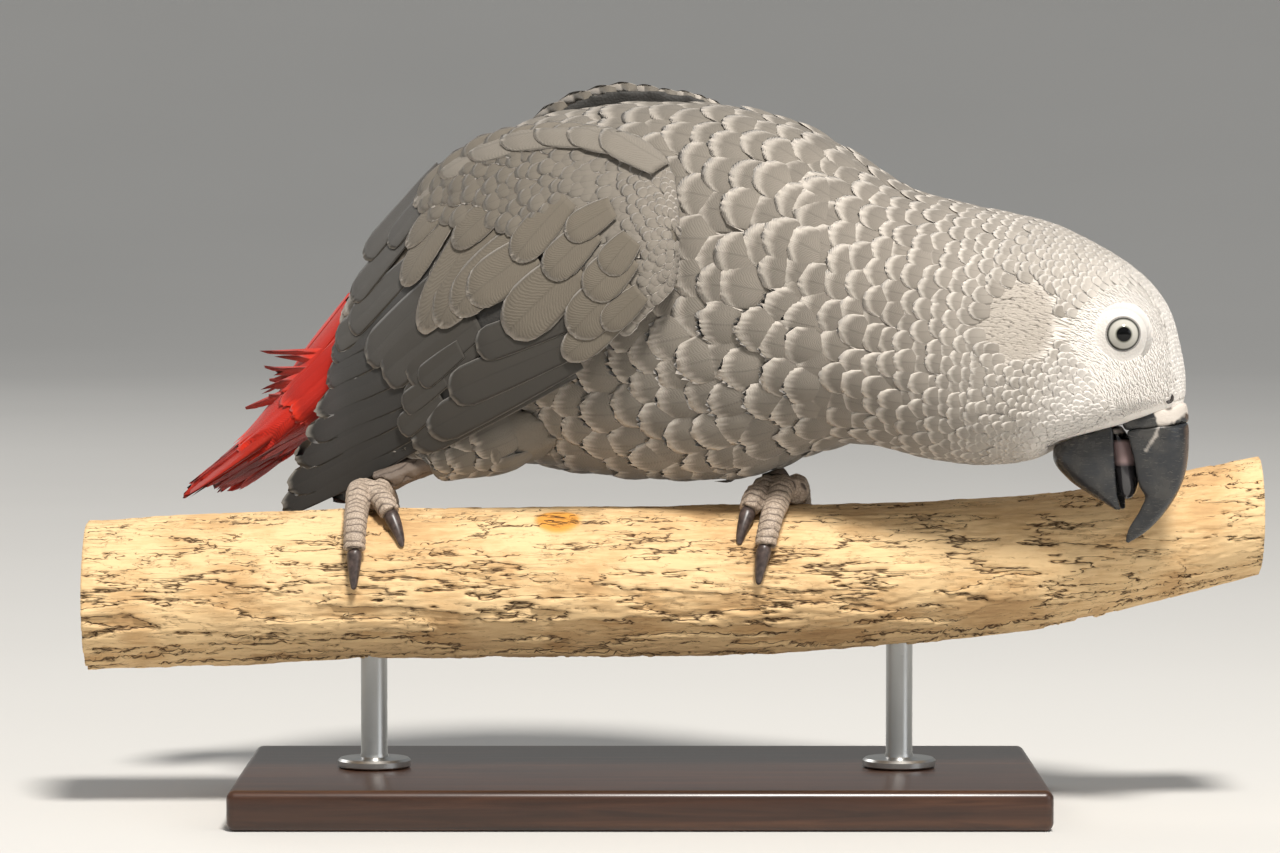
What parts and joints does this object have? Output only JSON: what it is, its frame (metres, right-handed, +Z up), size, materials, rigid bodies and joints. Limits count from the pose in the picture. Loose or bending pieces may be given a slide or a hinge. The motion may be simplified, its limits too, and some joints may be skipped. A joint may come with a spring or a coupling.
{
  "type": "grey parrot model",
  "caption": "Life-size still model of a grey parrot with a red tail, leaning forward along a cut branch with its bill lowered, on a plain wooden display stand.",
  "frame": {"origin": "centre of the stand base's underside, on the surface it stands on", "axes": "+X along the branch, towards the bird's head; +Y to the far side, where the tail points; +Z up"},
  "size_m": [0.3572, 0.1378, 0.217],
  "materials": {
    "grey_feathers": "overlapping body and wing feathers, dusty grey with paler rims",
    "pale_feathers": "small pale grey head feathers and bare white face",
    "flight_feathers": "dark slate flight feathers",
    "red_feathers": "scarlet tail feathers",
    "bill_horn": "charcoal horn, satin with scuffs",
    "cere_skin": "bare chalky skin round the nostrils",
    "tongue_skin": "dry grey-pink skin with a dark tip",
    "eye": "glass eye, straw-grey iris and black pupil",
    "foot_skin": "grey scaled skin",
    "claw_horn": "dark polished horn",
    "branch_wood": "weathered tan bark in cracked plates",
    "stand_wood": "dark stained hardwood, satin",
    "stand_steel": "brushed steel"
  },
  "bodies": {
    "root": {"bill_lower": "bill_horn", "bill_upper": "bill_horn", "cere": "cere_skin", "claw_left_1": "claw_horn", "claw_left_2": "claw_horn", "claw_left_3": "claw_horn", "claw_left_4": "claw_horn", "claw_right_1": "claw_horn", "claw_right_2": "claw_horn", "claw_right_3": "claw_horn", "claw_right_4": "claw_horn", "eye_left": "eye", "eye_right": "eye", "foot_left": "foot_skin", "foot_right": "foot_skin", "head": "pale_feathers", "neck": "grey_feathers", "perch": "branch_wood", "primaries_left": "flight_feathers", "primaries_right": "flight_feathers", "shank_left": "foot_skin", "shank_right": "foot_skin", "stand_base": "stand_wood", "stand_rod_left": "stand_steel", "stand_rod_right": "stand_steel", "tail": "red_feathers", "thigh_left": "grey_feathers", "thigh_right": "grey_feathers", "tongue": "tongue_skin", "trunk": "grey_feathers", "wing_left": "grey_feathers", "wing_right": "grey_feathers"}
  },
  "joints": []
}
